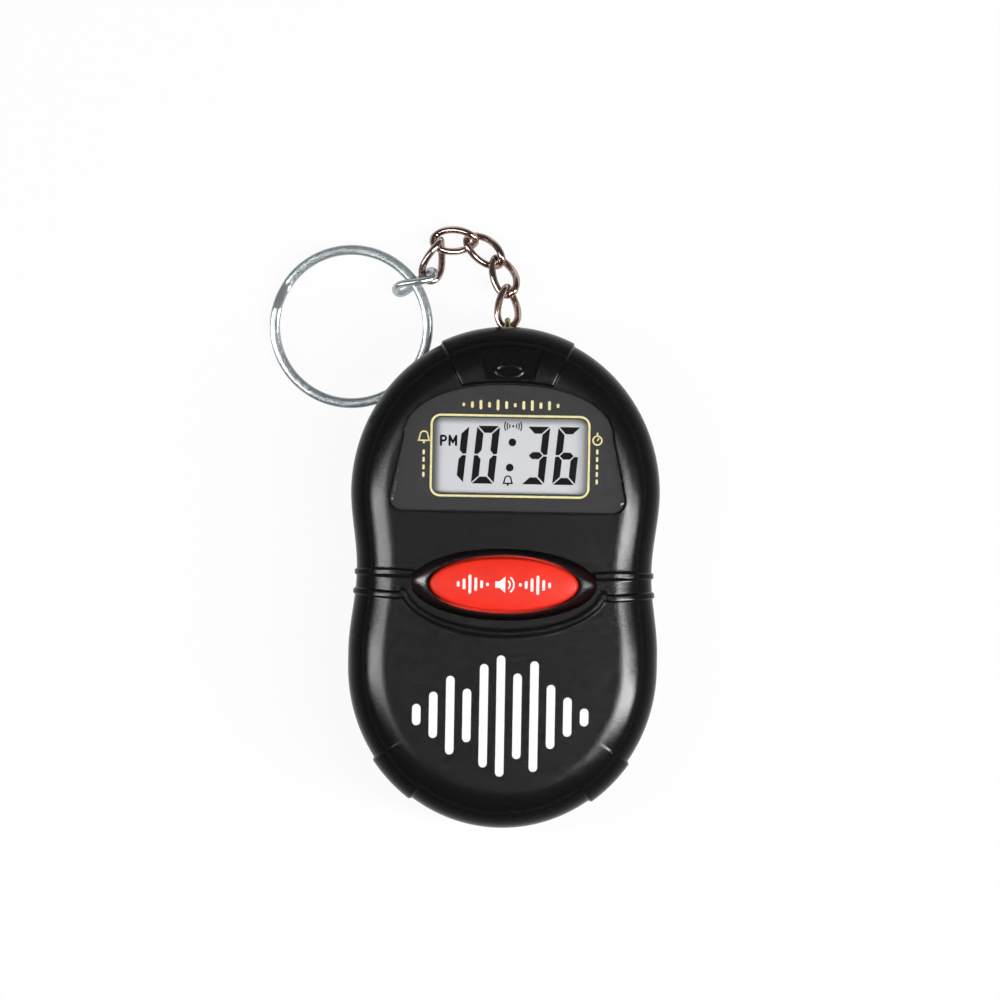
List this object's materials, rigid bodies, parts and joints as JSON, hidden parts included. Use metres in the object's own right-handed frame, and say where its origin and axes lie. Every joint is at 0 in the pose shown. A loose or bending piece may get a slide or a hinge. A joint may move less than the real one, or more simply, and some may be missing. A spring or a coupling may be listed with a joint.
{
  "type": "talking clock",
  "caption": "Pocket talking clock: peanut-shaped case with a digital display, a large talk button, a rear speaker and a link chain with a split ring.",
  "frame": {"origin": "middle of the case on the plane of its back", "axes": "+Z out of the face, +Y towards the chain, +X to the right as the face is read"},
  "size_m": [0.0553, 0.0845, 0.0174],
  "materials": {
    "case_black": "fine textured black plastic with a soft sheen",
    "lens_clear": "clear moulded lens",
    "film_black": "black printed film",
    "display_grey": "pale grey liquid crystal panel",
    "frame_white": "moulded display frame",
    "strip_pink": "layered conductive rubber",
    "board_green": "green solder mask",
    "chip_black": "epoxy cover over the chip",
    "part_brown": "small soldered parts",
    "button_red": "red moulded button",
    "key_black": "black moulded keys and cap",
    "pad_rubber": "rubber and foam pads",
    "steel": "plated steel",
    "brass": "plated spring brass",
    "loop_brass": "dull brass wire",
    "cone_paper": "pressed speaker cone",
    "lead_red": "insulated lead",
    "nickel": "bright nickel plating"
  },
  "bodies": {
    "case": {"front_cover": "case_black", "rear_cover": "case_black", "case_screws": "steel", "display_lens": "lens_clear", "display_film": "film_black", "display_glass": "display_grey", "display_frame": "frame_white", "contact_strips": "strip_pink", "circuit_board": "board_green", "chip_cover": "chip_black", "timing_crystal": "steel", "board_parts": "part_brown", "board_screws": "steel", "talk_dome": "steel", "contact_top": "brass", "contact_side": "brass", "cell_lower": "steel", "cell_upper": "steel", "speaker_basket": "steel", "speaker_cone": "cone_paper", "speaker_magnet": "steel", "speaker_gasket": "pad_rubber", "speaker_leads": "lead_red", "key_switches": "chip_black", "anchor_loop": "loop_brass"},
    "talk_button_body": {"talk_button": "button_red"},
    "mode_key_body": {"mode_key": "key_black"},
    "set_key_body": {"set_key": "key_black"},
    "battery_cap_body": {"battery_cap": "key_black", "cap_gasket": "pad_rubber"},
    "link_1_body": {"link_1": "nickel"},
    "link_2_body": {"link_2": "nickel"},
    "link_3_body": {"link_3": "nickel"},
    "link_4_body": {"link_4": "nickel"},
    "link_5_body": {"link_5": "nickel"},
    "link_6_body": {"link_6": "nickel"},
    "split_ring_body": {"split_ring": "nickel"}
  },
  "joints": [
    {"name": "talk_press", "type": "slide", "parent": "case", "child": "talk_button_body", "axis": [0, 0, -1], "range_m": [0, 0.0006], "stiffness_N_per_m": 900, "springref_m": -0.0008, "deforming": ["talk_dome"]},
    {"name": "mode_press", "type": "slide", "parent": "case", "child": "mode_key_body", "axis": [0, 0, 1], "range_m": [0, 0.0004], "stiffness_N_per_m": 700, "springref_m": -0.0005},
    {"name": "set_press", "type": "slide", "parent": "case", "child": "set_key_body", "axis": [0, 0, 1], "range_m": [0, 0.0004], "stiffness_N_per_m": 700, "springref_m": -0.0005},
    {"name": "cap_turn", "type": "hinge", "parent": "case", "child": "battery_cap_body", "pos_m": [0, -0.0175, 0], "axis": [0, 0, 1], "range_deg": [0, 50]},
    {"name": "link_1_swing", "type": "hinge", "parent": "case", "child": "link_1_body", "pos_m": [-0.00013, 0.03615, 0.0054], "axis": [0, 0, 1], "range_deg": [-45, 0]},
    {"name": "link_2_swing", "type": "hinge", "parent": "link_1_body", "child": "link_2_body", "pos_m": [-0.00052, 0.04068, 0.00309], "axis": [-0.029, -0.0509, 0.9983], "range_deg": [-30, 0]},
    {"name": "link_3_swing", "type": "hinge", "parent": "link_2_body", "child": "link_3_body", "pos_m": [-0.00189, 0.04485, 0.00131], "axis": [-0.2845, -0.2746, 0.9185], "range_deg": [-40, 0]},
    {"name": "link_4_swing", "type": "hinge", "parent": "link_3_body", "child": "link_4_body", "pos_m": [-0.00594, 0.04752, 0.00107], "axis": [-0.33, -0.6079, 0.7222], "range_deg": [-45, 0]},
    {"name": "link_5_swing", "type": "hinge", "parent": "link_4_body", "child": "link_5_body", "pos_m": [-0.01073, 0.047, 0.00092], "axis": [0.5114, -0.6515, 0.5604], "range_deg": [-24, 0]},
    {"name": "link_6_swing", "type": "hinge", "parent": "link_5_body", "child": "link_6_body", "pos_m": [-0.01099, 0.04158, 0.00223], "axis": [-0.4045, -0.3985, 0.8231], "range_deg": [-8, 0]},
    {"name": "ring_turn", "type": "hinge", "parent": "link_6_body", "child": "split_ring_body", "pos_m": [-0.02211, 0.03492, 0.00143], "axis": [-0.0411, -0.0295, 0.9987], "continuous": true}
  ]
}
